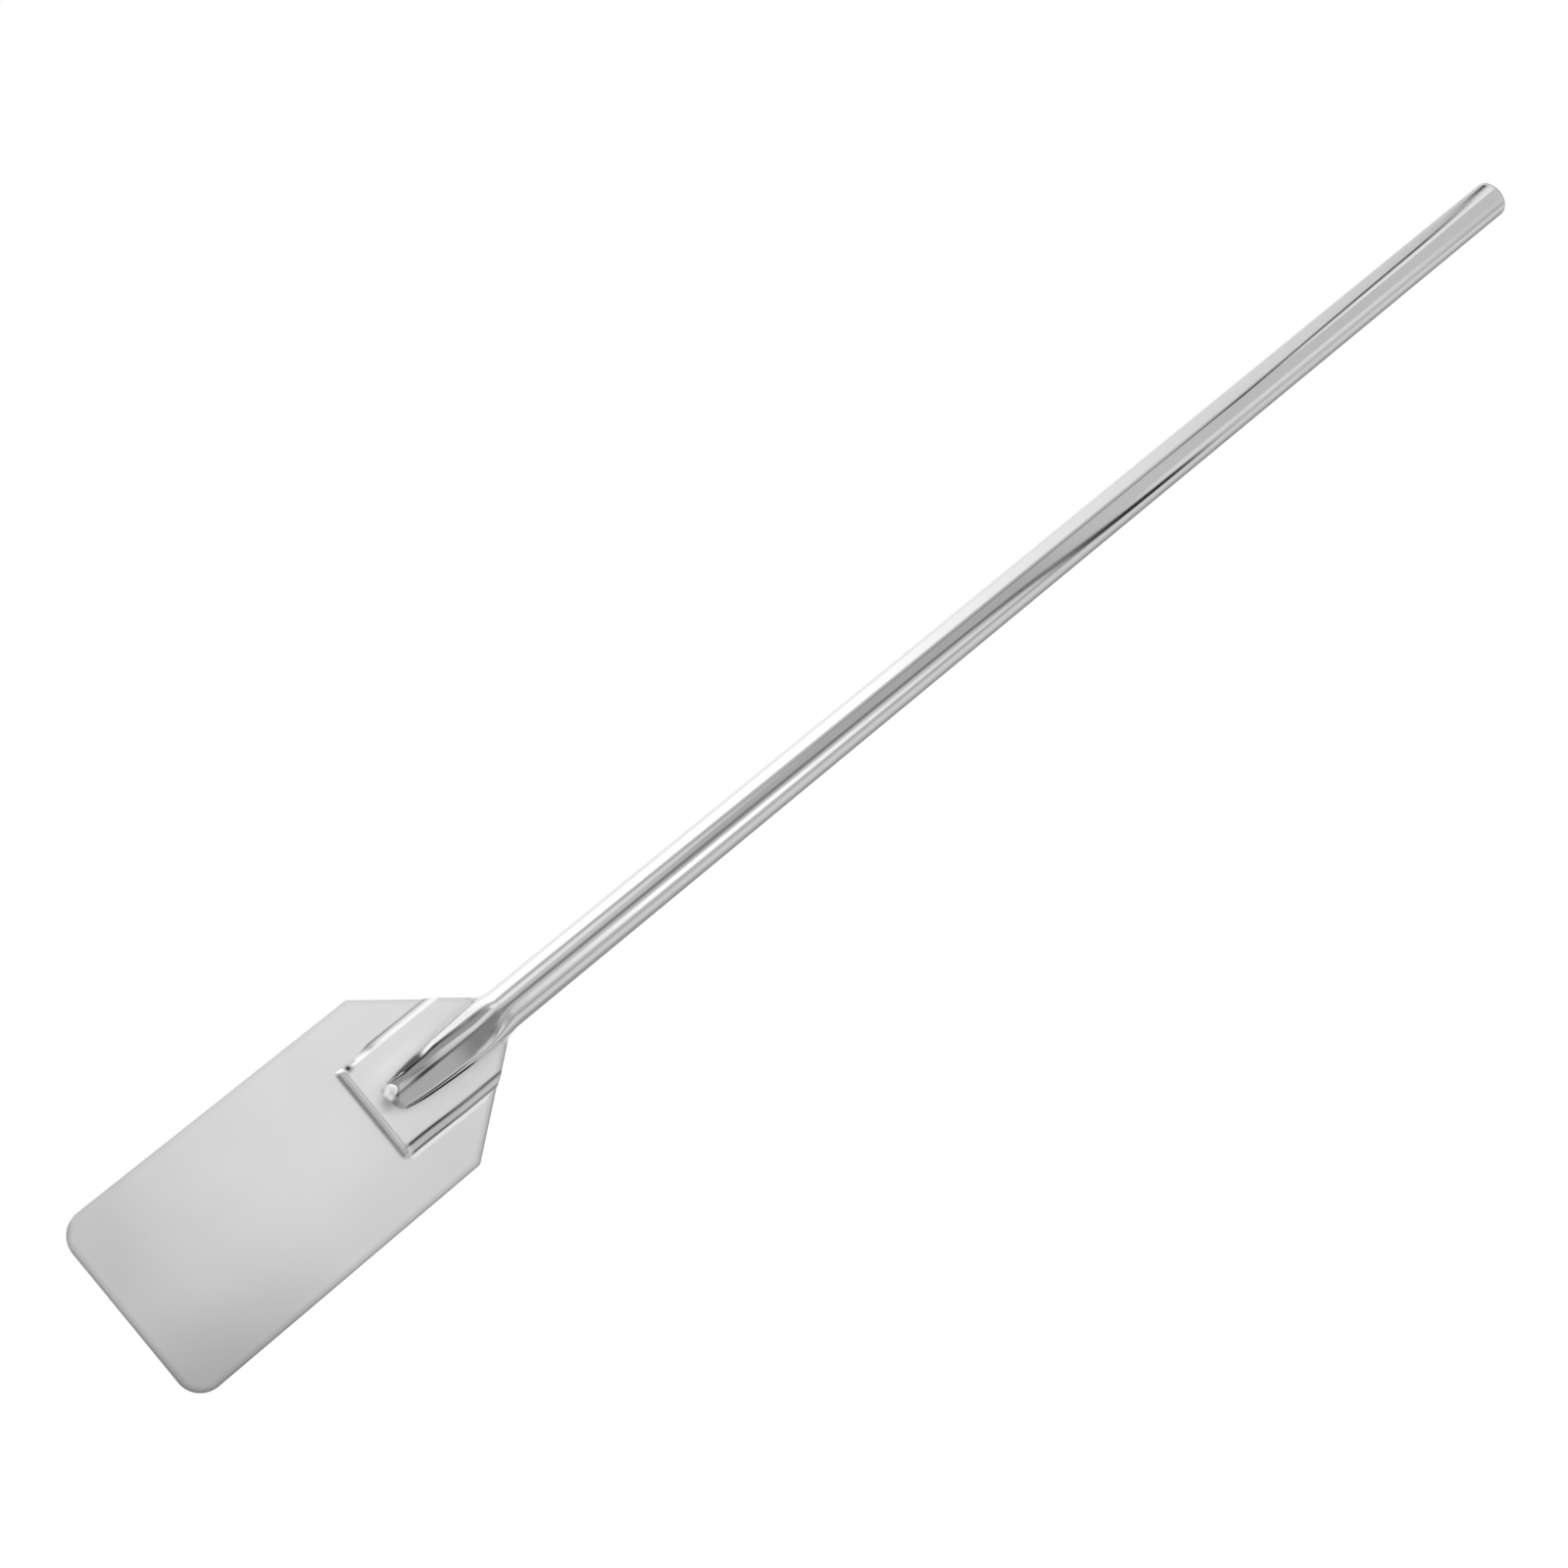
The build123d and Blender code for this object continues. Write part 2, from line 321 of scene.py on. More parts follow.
def build_world():
    """White to the camera; soft cards, gaps and a darker low front to the steel's reflections."""
    world = bpy.data.worlds.new("studio")
    bpy.context.scene.world = world
    world.use_nodes = True
    graph = Graph(world.node_tree)
    direction = graph.node("ShaderNodeTexCoord").outputs["Generated"]
    x, y, z = graph.node("ShaderNodeSeparateXYZ", {"Vector": direction}).outputs
    azimuth = graph.math("DEGREES", graph.math("ARCTAN2", x, graph.math("MULTIPLY", y, -1.0)))
    rise = graph.math("DEGREES", graph.math("ARCSINE", z))
    # Below the horizon the cards repeat upside down, under the dark low front and the floor
    height = graph.math("MAXIMUM", rise, graph.math("SUBTRACT", LOW_MIRROR, rise))
    light = ROOM_LEVEL
    for card in CARDS.values():
        light = studio_card(graph, light, azimuth, height, card)
    front = graph.span(graph.math("ABSOLUTE", azimuth), *LOW_FRONT_SIDES, 1.0, 0.0)
    under = graph.span(rise, *LOW_FRONT_TOP, 1.0, 0.0)
    shadow = graph.math("MULTIPLY", under, graph.span(rise, *LOW_FRONT_BOTTOM))
    light = graph.blend(graph.math("MULTIPLY", front, shadow), light, LOW_FRONT_LEVEL)
    light = graph.blend(graph.span(rise, *FLOOR_EDGE, 1.0, 0.0), light, FLOOR_LEVEL)
    path = graph.node("ShaderNodeLightPath")
    light = graph.blend(path.outputs["Is Diffuse Ray"], light, graph.math("MULTIPLY", light, FILL_GAIN))
    strength = graph.blend(path.outputs["Is Camera Ray"], light, 1.0)
    background = graph.node("ShaderNodeBackground", {"Color": (1, 1, 1, 1), "Strength": strength})
    output = graph.node("ShaderNodeOutputWorld")
    graph.feed(output.inputs["Surface"], background.outputs[0])


FLOOR_DROP = 1.0
FLOOR_RADIUS = 1.2


def build_stage():
    """A plain pale floor far below the hanging part, as white as the backdrop."""
    bm = bmesh.new()
    place = Matrix.Translation((0, 0, -FLOOR_DROP))
    bmesh.ops.create_circle(bm, cap_ends=True, segments=96, radius=FLOOR_RADIUS, matrix=place)
    mesh = bpy.data.meshes.new("floor")
    bm.to_mesh(mesh)
    bm.free()
    floor = bpy.data.objects.new("floor", mesh)
    bpy.context.scene.collection.objects.link(floor)
    material = bpy.data.materials.new("pale_floor")
    material.use_nodes = True
    graph = Graph(material.node_tree)
    glow = graph.node("ShaderNodeEmission", {"Color": (1, 1, 1, 1), "Strength": 1.0})
    output = graph.node("ShaderNodeOutputMaterial")
    graph.feed(output.inputs["Surface"], glow.outputs[0])
    mesh.materials.append(material)
    floor.visible_glossy = False


# The camera is below the blade's end and in front, looking up the handle, and rolled to the left
CAMERA_AZIMUTH = math.radians(-0.24)
CAMERA_ELEVATION = math.radians(-29.42)
CAMERA_ROLL = math.radians(50.61)
CAMERA_DISTANCE = 1.8988
CAMERA_AIM_SHARE = 0.4042
CAMERA_AIM_SIDE = 2.6 * MM
LENS = 75.0
SENSOR = 36.0
NEAR_CLIP = 0.05
FAR_CLIP = 100.0


def build_camera():
    """The photo's viewpoint, aimed part of the way up the handle and a little to its right."""
    data = bpy.data.cameras.new("camera")
    data.lens = LENS
    data.sensor_width = SENSOR
    data.sensor_fit = "HORIZONTAL"
    data.clip_start = NEAR_CLIP
    data.clip_end = FAR_CLIP
    camera = bpy.data.objects.new("camera", data)
    bpy.context.scene.collection.objects.link(camera)
    flat = math.cos(CAMERA_ELEVATION)
    back = Vector((math.sin(CAMERA_AZIMUTH) * flat, -math.cos(CAMERA_AZIMUTH) * flat,
                   math.sin(CAMERA_ELEVATION)))
    aim = Vector((CAMERA_AIM_SIDE, 0, CAMERA_AIM_SHARE * OVERALL_LENGTH))
    camera.location = aim + back * CAMERA_DISTANCE
    level = (-back).to_track_quat("-Z", "Y").to_matrix().to_4x4()
    roll = Matrix.Rotation(CAMERA_ROLL, 4, "Z")
    camera.rotation_mode = "QUATERNION"
    camera.rotation_quaternion = (level @ roll).to_quaternion()
    bpy.context.scene.camera = camera


# -------------------- materials


def new_steel(name, metallic=1.0):
    """(material, graph, shader) of a bare steel that the caller adds its color and grain to."""
    material = bpy.data.materials.new(name)
    material.use_nodes = True
    graph = Graph(material.node_tree)
    shader = graph.node("ShaderNodeBsdfPrincipled")
    shader.inputs["Metallic"].default_value = metallic
    output = graph.node("ShaderNodeOutputMaterial")
    graph.feed(output.inputs["Surface"], shader.outputs[0])
    return material, graph, shader


def noise(graph, point, scale, stretch=(1, 1, 1), detail=4.0, rough=0.5):
    """A noise from 0 to 1, most of it between 0.25 and 0.75, of about scale lumps to the metre."""
    mapping = graph.node("ShaderNodeMapping", {"Vector": point, "Scale": stretch})
    inputs = {"Vector": mapping.outputs[0], "Scale": scale, "Detail": detail, "Roughness": rough}
    return graph.node("ShaderNodeTexNoise", inputs).outputs["Fac"]


def varied(graph, value, start, end):
    """A brightness or roughness that runs from start to end with value, which is a noise."""
    return graph.span(value, 0.25, 0.75, start, end, smooth=False)


def bump(graph, shader, height, distance):
    """Dents the shading by distance where height is low."""
    made = graph.node("ShaderNodeBump", {"Height": height, "Distance": distance, "Strength": 1.0})
    graph.feed(shader.inputs["Normal"], made.outputs[0])


# The vertex attribute that carries painted shade and painted highlights on the pieces, and a plain darker
# tone on the cap weld
MARK = "painted_shade_and_tone"
MARK_STRENGTH = 0.8


def darkened(graph, shade):
    """shade made darker where the piece's painted shade marks are above 0, and lighter, as a painted
    highlight, where they are below.
    """
    mark = graph.node("ShaderNodeAttribute", attribute_name=MARK).outputs["Fac"]
    return graph.math("MULTIPLY", shade, graph.math("MULTIPLY_ADD", mark, -MARK_STRENGTH, 1.0))


# Where and how strongly painted shade darkens the sheet towards its working end and its right side
SHADED_HEIGHTS = (-10.0 * MM, 130.0 * MM)
SHADED_SIDE = (-5.0 * MM, 62.0 * MM)
END_PAINTED_SHADE = 0.16
SIDE_PAINTED_SHADE = 0.12
CORNER_PAINTED_SHADE = 0.15


def satin_sheet():
    """Satin sheet: cloudy mottling, fine grain, painted shade towards its working end and its right, and
    painted lines of shade and highlight.
    """
    material, graph, shader = new_steel("satin_sheet", metallic=0.75)
    point = graph.node("ShaderNodeTexCoord").outputs["Object"]
    x, _, z = graph.node("ShaderNodeSeparateXYZ", {"Vector": point}).outputs
    clouds = noise(graph, point, scale=24.0, detail=3.0)
    grain = noise(graph, point, scale=900.0, stretch=(1.0, 1.0, 0.06), detail=3.0, rough=0.6)
    mixed = graph.blend(0.35, clouds, grain)
    shade = varied(graph, mixed, 0.91, 0.95)
    # Painted shade darkens the working end, more on its right
    toward_end = graph.math("SUBTRACT", 1.0, graph.span(z, *SHADED_HEIGHTS))
    right = graph.span(x, *SHADED_SIDE)
    side_shading = graph.math("MULTIPLY", right, graph.math("MULTIPLY_ADD", toward_end, CORNER_PAINTED_SHADE, SIDE_PAINTED_SHADE))
    end_shading = graph.math("ADD", graph.math("MULTIPLY", toward_end, END_PAINTED_SHADE), side_shading)
    shade = graph.math("MULTIPLY", shade, graph.math("SUBTRACT", 1.0, end_shading))
    graph.feed(shader.inputs["Base Color"], darkened(graph, shade))
    graph.feed(shader.inputs["Roughness"], graph.span(mixed, 0.2, 0.8, 0.36, 0.42, smooth=False))
    bump(graph, shader, grain, 0.004 * MM)
    return material


def polished_tube():
    """Polished tube: drawing lines along its length, slight dullness in patches, and painted shade from
    the marks on its vertices.
    """
    material, graph, shader = new_steel("polished_tube")
    point = graph.node("ShaderNodeTexCoord").outputs["Object"]
    lines = noise(graph, point, scale=1400.0, stretch=(1.0, 1.0, 0.012), detail=2.0, rough=0.6)
    patches = noise(graph, point, scale=18.0, stretch=(1.0, 1.0, 0.4), detail=3.0)
    graph.feed(shader.inputs["Base Color"], darkened(graph, varied(graph, patches, 0.60, 0.64)))
    graph.feed(shader.inputs["Roughness"], varied(graph, patches, 0.05, 0.08))
    bump(graph, shader, lines, 0.0005 * MM)
    return material


TURNING_PITCH = 0.35 * MM


def polished_cap():
    """Polished cap: rings left by turning, and a softer rubbed surface."""
    material, graph, shader = new_steel("polished_cap")
    point = graph.node("ShaderNodeTexCoord").outputs["Object"]
    split = graph.node("ShaderNodeSeparateXYZ", {"Vector": point})
    flat = graph.node("ShaderNodeCombineXYZ", {"X": split.outputs[0], "Y": split.outputs[1]})
    radius = graph.node("ShaderNodeVectorMath", {0: flat.outputs[0]}, operation="LENGTH").outputs["Value"]
    rings = graph.math("SINE", graph.math("MULTIPLY", radius, 2 * math.pi / TURNING_PITCH))
    rub = noise(graph, point, scale=160.0)
    graph.feed(shader.inputs["Base Color"], varied(graph, rub, 0.42, 0.47))
    graph.feed(shader.inputs["Roughness"], varied(graph, rub, 0.15, 0.24))
    bump(graph, shader, rings, 0.002 * MM)
    return material


def weld_metal():
    """Dressed weld: fine ripples under a brushed-over, slightly uneven surface, darkened by the painted
    shade on each piece's vertices.
    """
    material, graph, shader = new_steel("weld_metal", metallic=0.75)
    point = graph.node("ShaderNodeTexCoord").outputs["Object"]
    ripple = noise(graph, point, scale=420.0, stretch=(1.0, 1.0, 1.8), detail=3.0)
    patches = noise(graph, point, scale=90.0, detail=3.0)
    graph.feed(shader.inputs["Base Color"], darkened(graph, varied(graph, patches, 0.78, 0.86)))
    graph.feed(shader.inputs["Roughness"], varied(graph, patches, 0.46, 0.56))
    bump(graph, shader, ripple, 0.006 * MM)
    return material


# -------------------- meshes


SHARP_ANGLE = math.radians(40)
MERGE = 0.0001 * MM


def add_piece(name, bm, material, nodes):
    """A finished piece from bm, riding on the frame and standing for its CAD nodes."""
    bmesh.ops.recalc_face_normals(bm, faces=bm.faces)
    mesh = bpy.data.meshes.new(name)
    bm.to_mesh(mesh)
    bm.free()
    mesh.materials.append(material)
    mesh.shade_smooth()
    mesh.set_sharp_from_angle(angle=SHARP_ANGLE)
    piece = bpy.data.objects.new(name, mesh)
    bpy.context.scene.collection.objects.link(piece)
    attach(piece, "root")
    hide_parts(*nodes)
    return piece


def spaced(start, end, step):
    """Evenly spaced values from start to just before end, about step apart."""
    count = max(1, round((end - start) / step))
    return [start + (end - start) * i / count for i in range(count)]


def smooth(share, start, end):
    """A soft S-shaped change from start to end as share goes from 0 to 1."""
    share = min(max(share, 0.0), 1.0)
    return start + (end - start) * share * share * (3 - 2 * share)


def change(value, start, length, before, after):
    """before until value reaches start, after from length further on, and a soft change between."""
    return smooth((value - start) / length, before, after)


def bend(share, radius):
    """0 before share 0 and rising evenly after it, rounded within radius of the corner."""
    if share <= -radius:
        return 0.0
    if share >= radius:
        return share
    return (share + radius) ** 2 / (4 * radius)


def cut(bm, point, normal, **settings):
    """Cuts the whole mesh along a plane."""
    everything = bm.verts[:] + bm.edges[:] + bm.faces[:]
    bmesh.ops.bisect_plane(bm, geom=everything, plane_co=point, plane_no=normal, dist=MERGE, **settings)


def strip(bm, first, second, closed=False):
    """Faces between two rows of vertices."""
    count = len(first)
    for i in range(count if closed else count - 1):
        j = (i + 1) % count
        bm.faces.new((first[i], first[j], second[j], second[i]))


# -------------------- blade


# The panel's walls: the left wall's foot spreads and its top stays, the right wall moves out whole
WALL_BEND = 0.08
END_WALL_RUN = 5.0 * MM
END_WALL_POWER = 1.6
CORNER_SOFTNESS = 0.4 * MM
LEFT_SPREAD = 1.7 * MM
LEFT_TOP = 26.6 * MM
LEFT_SPREAD_START = 184.0 * MM
LEFT_SPREAD_END = 196.0 * MM
RIGHT_SPREAD = 0.8 * MM
RIGHT_STEEPENING = 0.4 * MM
RIGHT_SPREAD_START = 180.0 * MM
RIGHT_SPREAD_END = 220.0 * MM
DENT = (-27.5 * MM, 175.6 * MM)
DENT_SIZE = (1.3 * MM, 2.6 * MM)
DENT_DEPTH = 0.12

# Painted patches on the sheet, as (centre, size, darkness, negative where it is brighter): painted shade
# in the dent, painted shade and highlight spots along the left bend and at the panel's corners, a painted
# shadow under the nose weld, painted shade at its left foot, a painted highlight strip beside the tube,
# and painted shade over the working end
PAINTED_PATCHES = (
    ((-27.2 * MM, 175.8 * MM), (1.7 * MM, 2.3 * MM), 1.25),
    ((-28.4 * MM, 180.5 * MM), (0.8 * MM, 2.5 * MM), 0.42),
    ((-27.7 * MM, 172.2 * MM), (1.2 * MM, 1.0 * MM), -0.3),
    ((28.6 * MM, 171.2 * MM), (1.5 * MM, 1.5 * MM), 0.45),
    ((-28.4 * MM, 193.5 * MM), (0.9 * MM, 3.0 * MM), 0.42),
    ((0.4 * MM, 180.0 * MM), (4.4 * MM, 4.4 * MM), 0.5),
    ((-6.6 * MM, 182.8 * MM), (1.2 * MM, 1.6 * MM), 0.3),
    ((-13.8 * MM, 204 * MM), (4.0 * MM, 19 * MM), -0.19),
    ((-20 * MM, 12 * MM), (45 * MM, 24 * MM), 0.08),
)


def blot(x, z, centre, size):
    """1 at centre, fading to 0 a little beyond size."""
    return math.exp(-((x - centre[0]) / size[0]) ** 2 - ((z - centre[1]) / size[1]) ** 2)


def wall_foot_and_run(x, z):
    """(distance of the side wall's foot from the axis, width of its slope) at z: both feet spread."""
    if x > 0:
        share = (z - RIGHT_SPREAD_START) / (RIGHT_SPREAD_END - RIGHT_SPREAD_START)
        foot = PANEL_HALF_WIDTH + smooth(share, 0.0, RIGHT_SPREAD)
        return foot, PANEL_WALL_RUN - smooth(share, 0.0, RIGHT_STEEPENING)
    share = (z - LEFT_SPREAD_START) / (LEFT_SPREAD_END - LEFT_SPREAD_START)
    foot = PANEL_HALF_WIDTH + smooth(share, 0.0, LEFT_SPREAD)
    return foot, foot - LEFT_TOP


def panel_shares(x, z):
    """How far (x, z) is up the side wall and up the end wall, each from 0 at its foot to 1 at its top."""
    foot, run = wall_foot_and_run(x, z)
    return (foot - abs(x)) / run, (z - PANEL_START) / END_WALL_RUN


def panel_rise(x, z):
    """How far the sheet is pressed forward at (x, z), from 0 to 1."""
    side, end = panel_shares(x, z)
    side_rise = bend(side, WALL_BEND) - bend(side - 1.0, WALL_BEND)
    end_rise = max(end, 0.0) ** END_WALL_POWER if end < 1 else 1.0 + (end - 1) * END_WALL_POWER
    softness = CORNER_SOFTNESS / PANEL_WALL_RUN
    gap = max(softness - abs(side_rise - end_rise), 0.0) / softness
    rise = min(min(side_rise, end_rise) - gap * gap * softness / 4, 1.0)
    return max(rise * (1 - DENT_DEPTH * blot(x, z, DENT, DENT_SIZE)), 0.0)


# A painted line of shade runs along each bend, given as (share of the way up the wall, how dark it
# is against the sheet, half width). Painted highlight lines have a negative darkness. Where the lines
# start or fade is given as change() takes it: (start, length, value before, value after).
RIGHT_LINES = ((1.10, 1.15, 0.9 * MM), (0.62, 0.42, 1.5 * MM), (0.17, 1.0, 0.85 * MM),
               (-0.30, -0.6, 0.75 * MM))
LEFT_LINES = ((0.15, 0.72, 0.8 * MM), (0.38, 0.4, 1.5 * MM), (0.9, 0.1, 0.75 * MM))
SIDE_LINES_START = (0.6, 1.0, 0.0, 1.0)
SIDE_LINES_FADE = (190.0 * MM, 30.0 * MM, 1.0, 0.82)
LEFT_LINES_START = (184.0 * MM, 10.0 * MM, 0.3, 1.0)
END_LINES = ((0.12, 0.14, 1.2 * MM), (0.30, 0.36, 1.3 * MM), (0.48, 0.34, 1.1 * MM),
             (0.82, 0.5, 0.8 * MM))
END_LINES_FADE = (8.0 * MM, 12.0 * MM, 1.0, 0.8)
END_LINES_SIDE = 0.5


def painted_line(gap, width):
    """1 on a painted line, fading to 0 a little beyond width from it."""
    return math.exp(-(gap / width) ** 2)


def painted_shade_and_tone(x, z):
    """How much painted shade (above 0) or painted highlight (below 0) the sheet has at (x, z)."""
    side, end = panel_shares(x, z)
    run = wall_foot_and_run(x, z)[1]
    along = change(end, *SIDE_LINES_START) * change(z, *SIDE_LINES_FADE)
    if x < 0:
        along *= change(z, *LEFT_LINES_START)
    mark = 0.0
    for place, darkness, width in RIGHT_LINES if x > 0 else LEFT_LINES:
        mark += along * darkness * painted_line((side - place) * run, width)
    if side > END_LINES_SIDE:
        share = change(x, *END_LINES_FADE)
        for place, darkness, width in END_LINES:
            mark += share * darkness * painted_line((end - place) * END_WALL_RUN, width)
    for centre, size, darkness in PAINTED_PATCHES:
        mark += darkness * blot(x, z, centre, size)
    return mark


def corner_cuts(centre, radius, sweep, steps):
    """(point, outward direction) of the straight cuts that round a corner, from +X through sweep."""
    cuts = []
    for i in range(1, steps):
        angle = sweep * i / steps
        away = (math.cos(angle), math.sin(angle))
        cuts.append(((centre[0] + radius * away[0], centre[1] + radius * away[1]), away))
    return cuts


def outline_cuts():
    """(point, outward direction) of every straight cut that leaves the blade's outline, right side."""
    lean = math.atan2(1.0, SHOULDER_SLOPE)
    cuts = [((0, 0), (0, -1)), ((BLADE_HALF_WIDTH, 0), (1, 0)), ((0, BLADE_TOP), (0, 1))]
    cuts.append(((BLADE_HALF_WIDTH, SHOULDER_START), (math.cos(lean), math.sin(lean))))
    centre = (BLADE_HALF_WIDTH - END_CORNER_RADIUS, END_CORNER_RADIUS)
    cuts += corner_cuts(centre, END_CORNER_RADIUS, -math.pi / 2, steps=20)
    inset = SHOULDER_CORNER_RADIUS * math.tan(lean / 2)
    centre = (BLADE_HALF_WIDTH - SHOULDER_CORNER_RADIUS, SHOULDER_START - inset)
    cuts += corner_cuts(centre, SHOULDER_CORNER_RADIUS, lean, steps=6)
    return cuts


# A band of painted shade along the cut edges, as wide as its first value, with a row of points at its
# second
RIM_BANDS = (4.0 * MM, 1.5 * MM)
RIGHT_RIM_DARKNESS = 0.68
LEFT_RIM_DARKNESS = 0.15
END_RIM_DARKNESS = 0.6
END_FACING = -0.7


def add_rim_marks(bm, mark_layer):
    """Paints shade in a band along the sheet's cut edges, most on the right and the working end."""
    for (x, z), (dx, dz) in outline_cuts():
        for side, darkness in ((1, RIGHT_RIM_DARKNESS), (-1, LEFT_RIM_DARKNESS)):
            if dz < END_FACING:
                darkness = max(darkness, END_RIM_DARKNESS)
            normal = Vector((side * dx, 0, dz))
            edge = Vector((side * x, 0, z))
            for band in RIM_BANDS:
                cut(bm, edge - normal * band, normal)
            for vertex in bm.verts:
                depth = 1 + normal.dot(Vector((vertex.co.x, 0, vertex.co.z)) - edge) / RIM_BANDS[0]
                if depth > 0.05:
                    vertex[mark_layer] = max(vertex[mark_layer], darkness * depth ** 2)


MIDDLE_STEP = 0.6 * MM
RIM_RADIUS = 0.4 * MM
RIM_ANGLE = math.radians(50)


def build_blade(material):
    """The pressed sheet: a fine mesh over the panel's bends, cut to the outline, then thickened."""
    coarse, fine, margin = 4.0 * MM, 0.16 * MM, 2.4 * MM
    wall_in = PANEL_HALF_WIDTH - PANEL_WALL_RUN - margin
    wall_out = PANEL_HALF_WIDTH + LEFT_SPREAD + margin
    edge = BLADE_HALF_WIDTH + coarse
    right = spaced(0, 2 * coarse, coarse / 4) + spaced(2 * coarse, wall_in, coarse)
    right += spaced(wall_in, wall_out, fine) + spaced(wall_out, edge, coarse) + [edge]
    columns = [-x for x in reversed(right[1:])] + right
    end_in = PANEL_START - 1.5 * margin
    end_out = PANEL_START + END_WALL_RUN + margin / 2
    rows = spaced(-coarse, end_in, coarse) + spaced(end_in, end_out, fine)
    rows += spaced(end_out, LEFT_SPREAD_END, MIDDLE_STEP)
    rows += spaced(LEFT_SPREAD_END, BLADE_TOP + coarse, coarse) + [BLADE_TOP + coarse]
    bm = bmesh.new()
    mark_layer = bm.verts.layers.float.new(MARK)
    grid = []
    for z in rows:
        line = []
        for x in columns:
            vertex = bm.verts.new((x, SHEET_CENTRE * (1 - panel_rise(x, z)), z))
            vertex[mark_layer] = painted_shade_and_tone(x, z)
            line.append(vertex)
        grid.append(line)
    for low, high in zip(grid, grid[1:]):
        for i in range(len(columns) - 1):
            bm.faces.new((low[i], low[i + 1], high[i + 1], high[i]))
    for (x, z), (dx, dz) in outline_cuts():
        for side in (1, -1):
            cut(bm, (side * x, 0, z), (side * dx, 0, dz), clear_outer=True)
    add_rim_marks(bm, mark_layer)
    blade = add_piece("paddle_blade", bm, material, ["blade"])
    thicken = blade.modifiers.new("thickness", "SOLIDIFY")
    thicken.thickness = 2 * HALF_SHEET
    thicken.offset = 0.0
    thicken.use_even_offset = True
    rim = blade.modifiers.new("rounded_rim", "BEVEL")
    rim.width = RIM_RADIUS
    rim.segments = 4
    rim.limit_method = "ANGLE"
    rim.angle_limit = RIM_ANGLE
    rim.harden_normals = True


# -------------------- tube


def tube_half_sizes(z):
    """(half width, half depth) of the tube at height z: spread flat at its mouth, round above."""
    if z < FLARE_HEIGHT:
        half_width = FLARE_HALF_WIDTH * ((z - TAPER_TIP) / (FLARE_HEIGHT - TAPER_TIP)) ** TAPER_POWER
    else:
        share = (z - FLARE_HEIGHT) / (ROUND_HEIGHT - FLARE_HEIGHT)
        half_width = smooth(share, FLARE_HALF_WIDTH, TUBE_RADIUS)
    share = min(max((z - MOUTH_START) / (PRESS_END - MOUTH_START), 0.0), 1.0)
    half_depth = MOUTH_HALF_DEPTH + (TUBE_RADIUS - MOUTH_HALF_DEPTH) * math.sin(math.pi / 2 * share)
    return half_width, half_depth


SWELL_RISE = (209.0 * MM, 12.0 * MM, -0.5 * MM, 0.5 * MM)
SWELL_END = (246.0 * MM, 16.0 * MM)


def left_swell(z):
    """How much further out the tube's left side is than its right: pinched low down, fuller above."""
    return change(z, *SWELL_END, change(z, *SWELL_RISE), 0.0)


# How far the pressed part is from an ellipse: boxier on the right, with a low ridge in the middle
LEFT_SQUARENESS = 3.2
RIGHT_SQUARENESS = 9.0
RIGHT_FADE_START = 238.0 * MM
LEFT_FADE_START = 190.0 * MM
RIDGE_SLOPE = 0.15
RIDGE_RADIUS = 0.9 * MM
RIDGE_FADE_START = 240.0 * MM


def squareness(z, side):
    """The section's superellipse power: high where the tube is pressed flat, 2 where it is round."""
    if side > 0:
        share = (z - RIGHT_FADE_START) / (ROUND_HEIGHT - RIGHT_FADE_START)
        return 1 / smooth(share, 1 / RIGHT_SQUARENESS, 0.5)
    share = min(max((z - LEFT_FADE_START) / (PRESS_END - LEFT_FADE_START), 0.0), 1.0)
    return 2.0 + (LEFT_SQUARENESS - 2.0) * (1 - share)


def section_point(turn, z, inset):
    """A point of the tube's section at height z, turn being its angle from +X towards the front."""
    half_width, half_depth = tube_half_sizes(z)
    if math.cos(turn) < 0:
        half_width += left_swell(z)
    half_width -= inset
    half_depth -= inset
    pressed = change(z, RIDGE_FADE_START, PRESS_END - RIDGE_FADE_START, 1.0, 0.0)
    power = squareness(z, math.cos(turn))
    across = abs(math.cos(turn) / half_width) ** power
    out = abs(math.sin(turn) / half_depth) ** power
    reach = (across + out) ** (-1 / power)
    x, y = reach * math.cos(turn), reach * math.sin(turn)
    drop = RIDGE_SLOPE * pressed * (math.hypot(x, RIDGE_RADIUS) - RIDGE_RADIUS)
    return x, y - drop * (y / half_depth) ** 2


HALVINGS = 24


def slot_turn(z, inset, side):
    """The turn at which the section meets the sheet's face, on the right (1) or left (-1)."""
    low, high = 0.0, math.pi / 2
    for _ in range(HALVINGS):
        middle = (low + high) / 2
        turn = middle if side > 0 else math.pi - middle
        if section_point(turn, z, inset)[1] < HALF_SHEET:
            low = middle
        else:
            high = middle
    return high if side > 0 else math.pi - high


def half_arc(z, inset, face, count):
    """The section's arc at z from the right to the left face of the sheet, on the front or back."""
    start, end = slot_turn(z, inset, 1), slot_turn(z, inset, -1)
    arc = []
    for i in range(count + 1):
        x, y = section_point(start + (end - start) * i / count, z, inset)
        arc.append(Vector((x, face * y, z)))
    return arc


def mouth_arc(share, inset, face, count):
    """An arc share of the way from the mouth to the flare: the mouth slants back to its corners."""
    first, last = slot_turn(MOUTH_START, inset, 1), slot_turn(MOUTH_START, inset, -1)
    arc = []
    for i in range(count + 1):
        mouth_x = section_point(first + (last - first) * i / count, MOUTH_START, inset)[0]
        across = abs(mouth_x) / tube_half_sizes(MOUTH_START)[0]
        z = MOUTH_START + MOUTH_SETBACK * (1 - across ** 2) + MOUTH_CORNER * across ** 4
        z += (FLARE_HEIGHT - z) * share
        start, end = slot_turn(z, inset, 1), slot_turn(z, inset, -1)
        x, y = section_point(start + (end - start) * i / count, z, inset)
        arc.append(Vector((x, face * y, z)))
    return arc
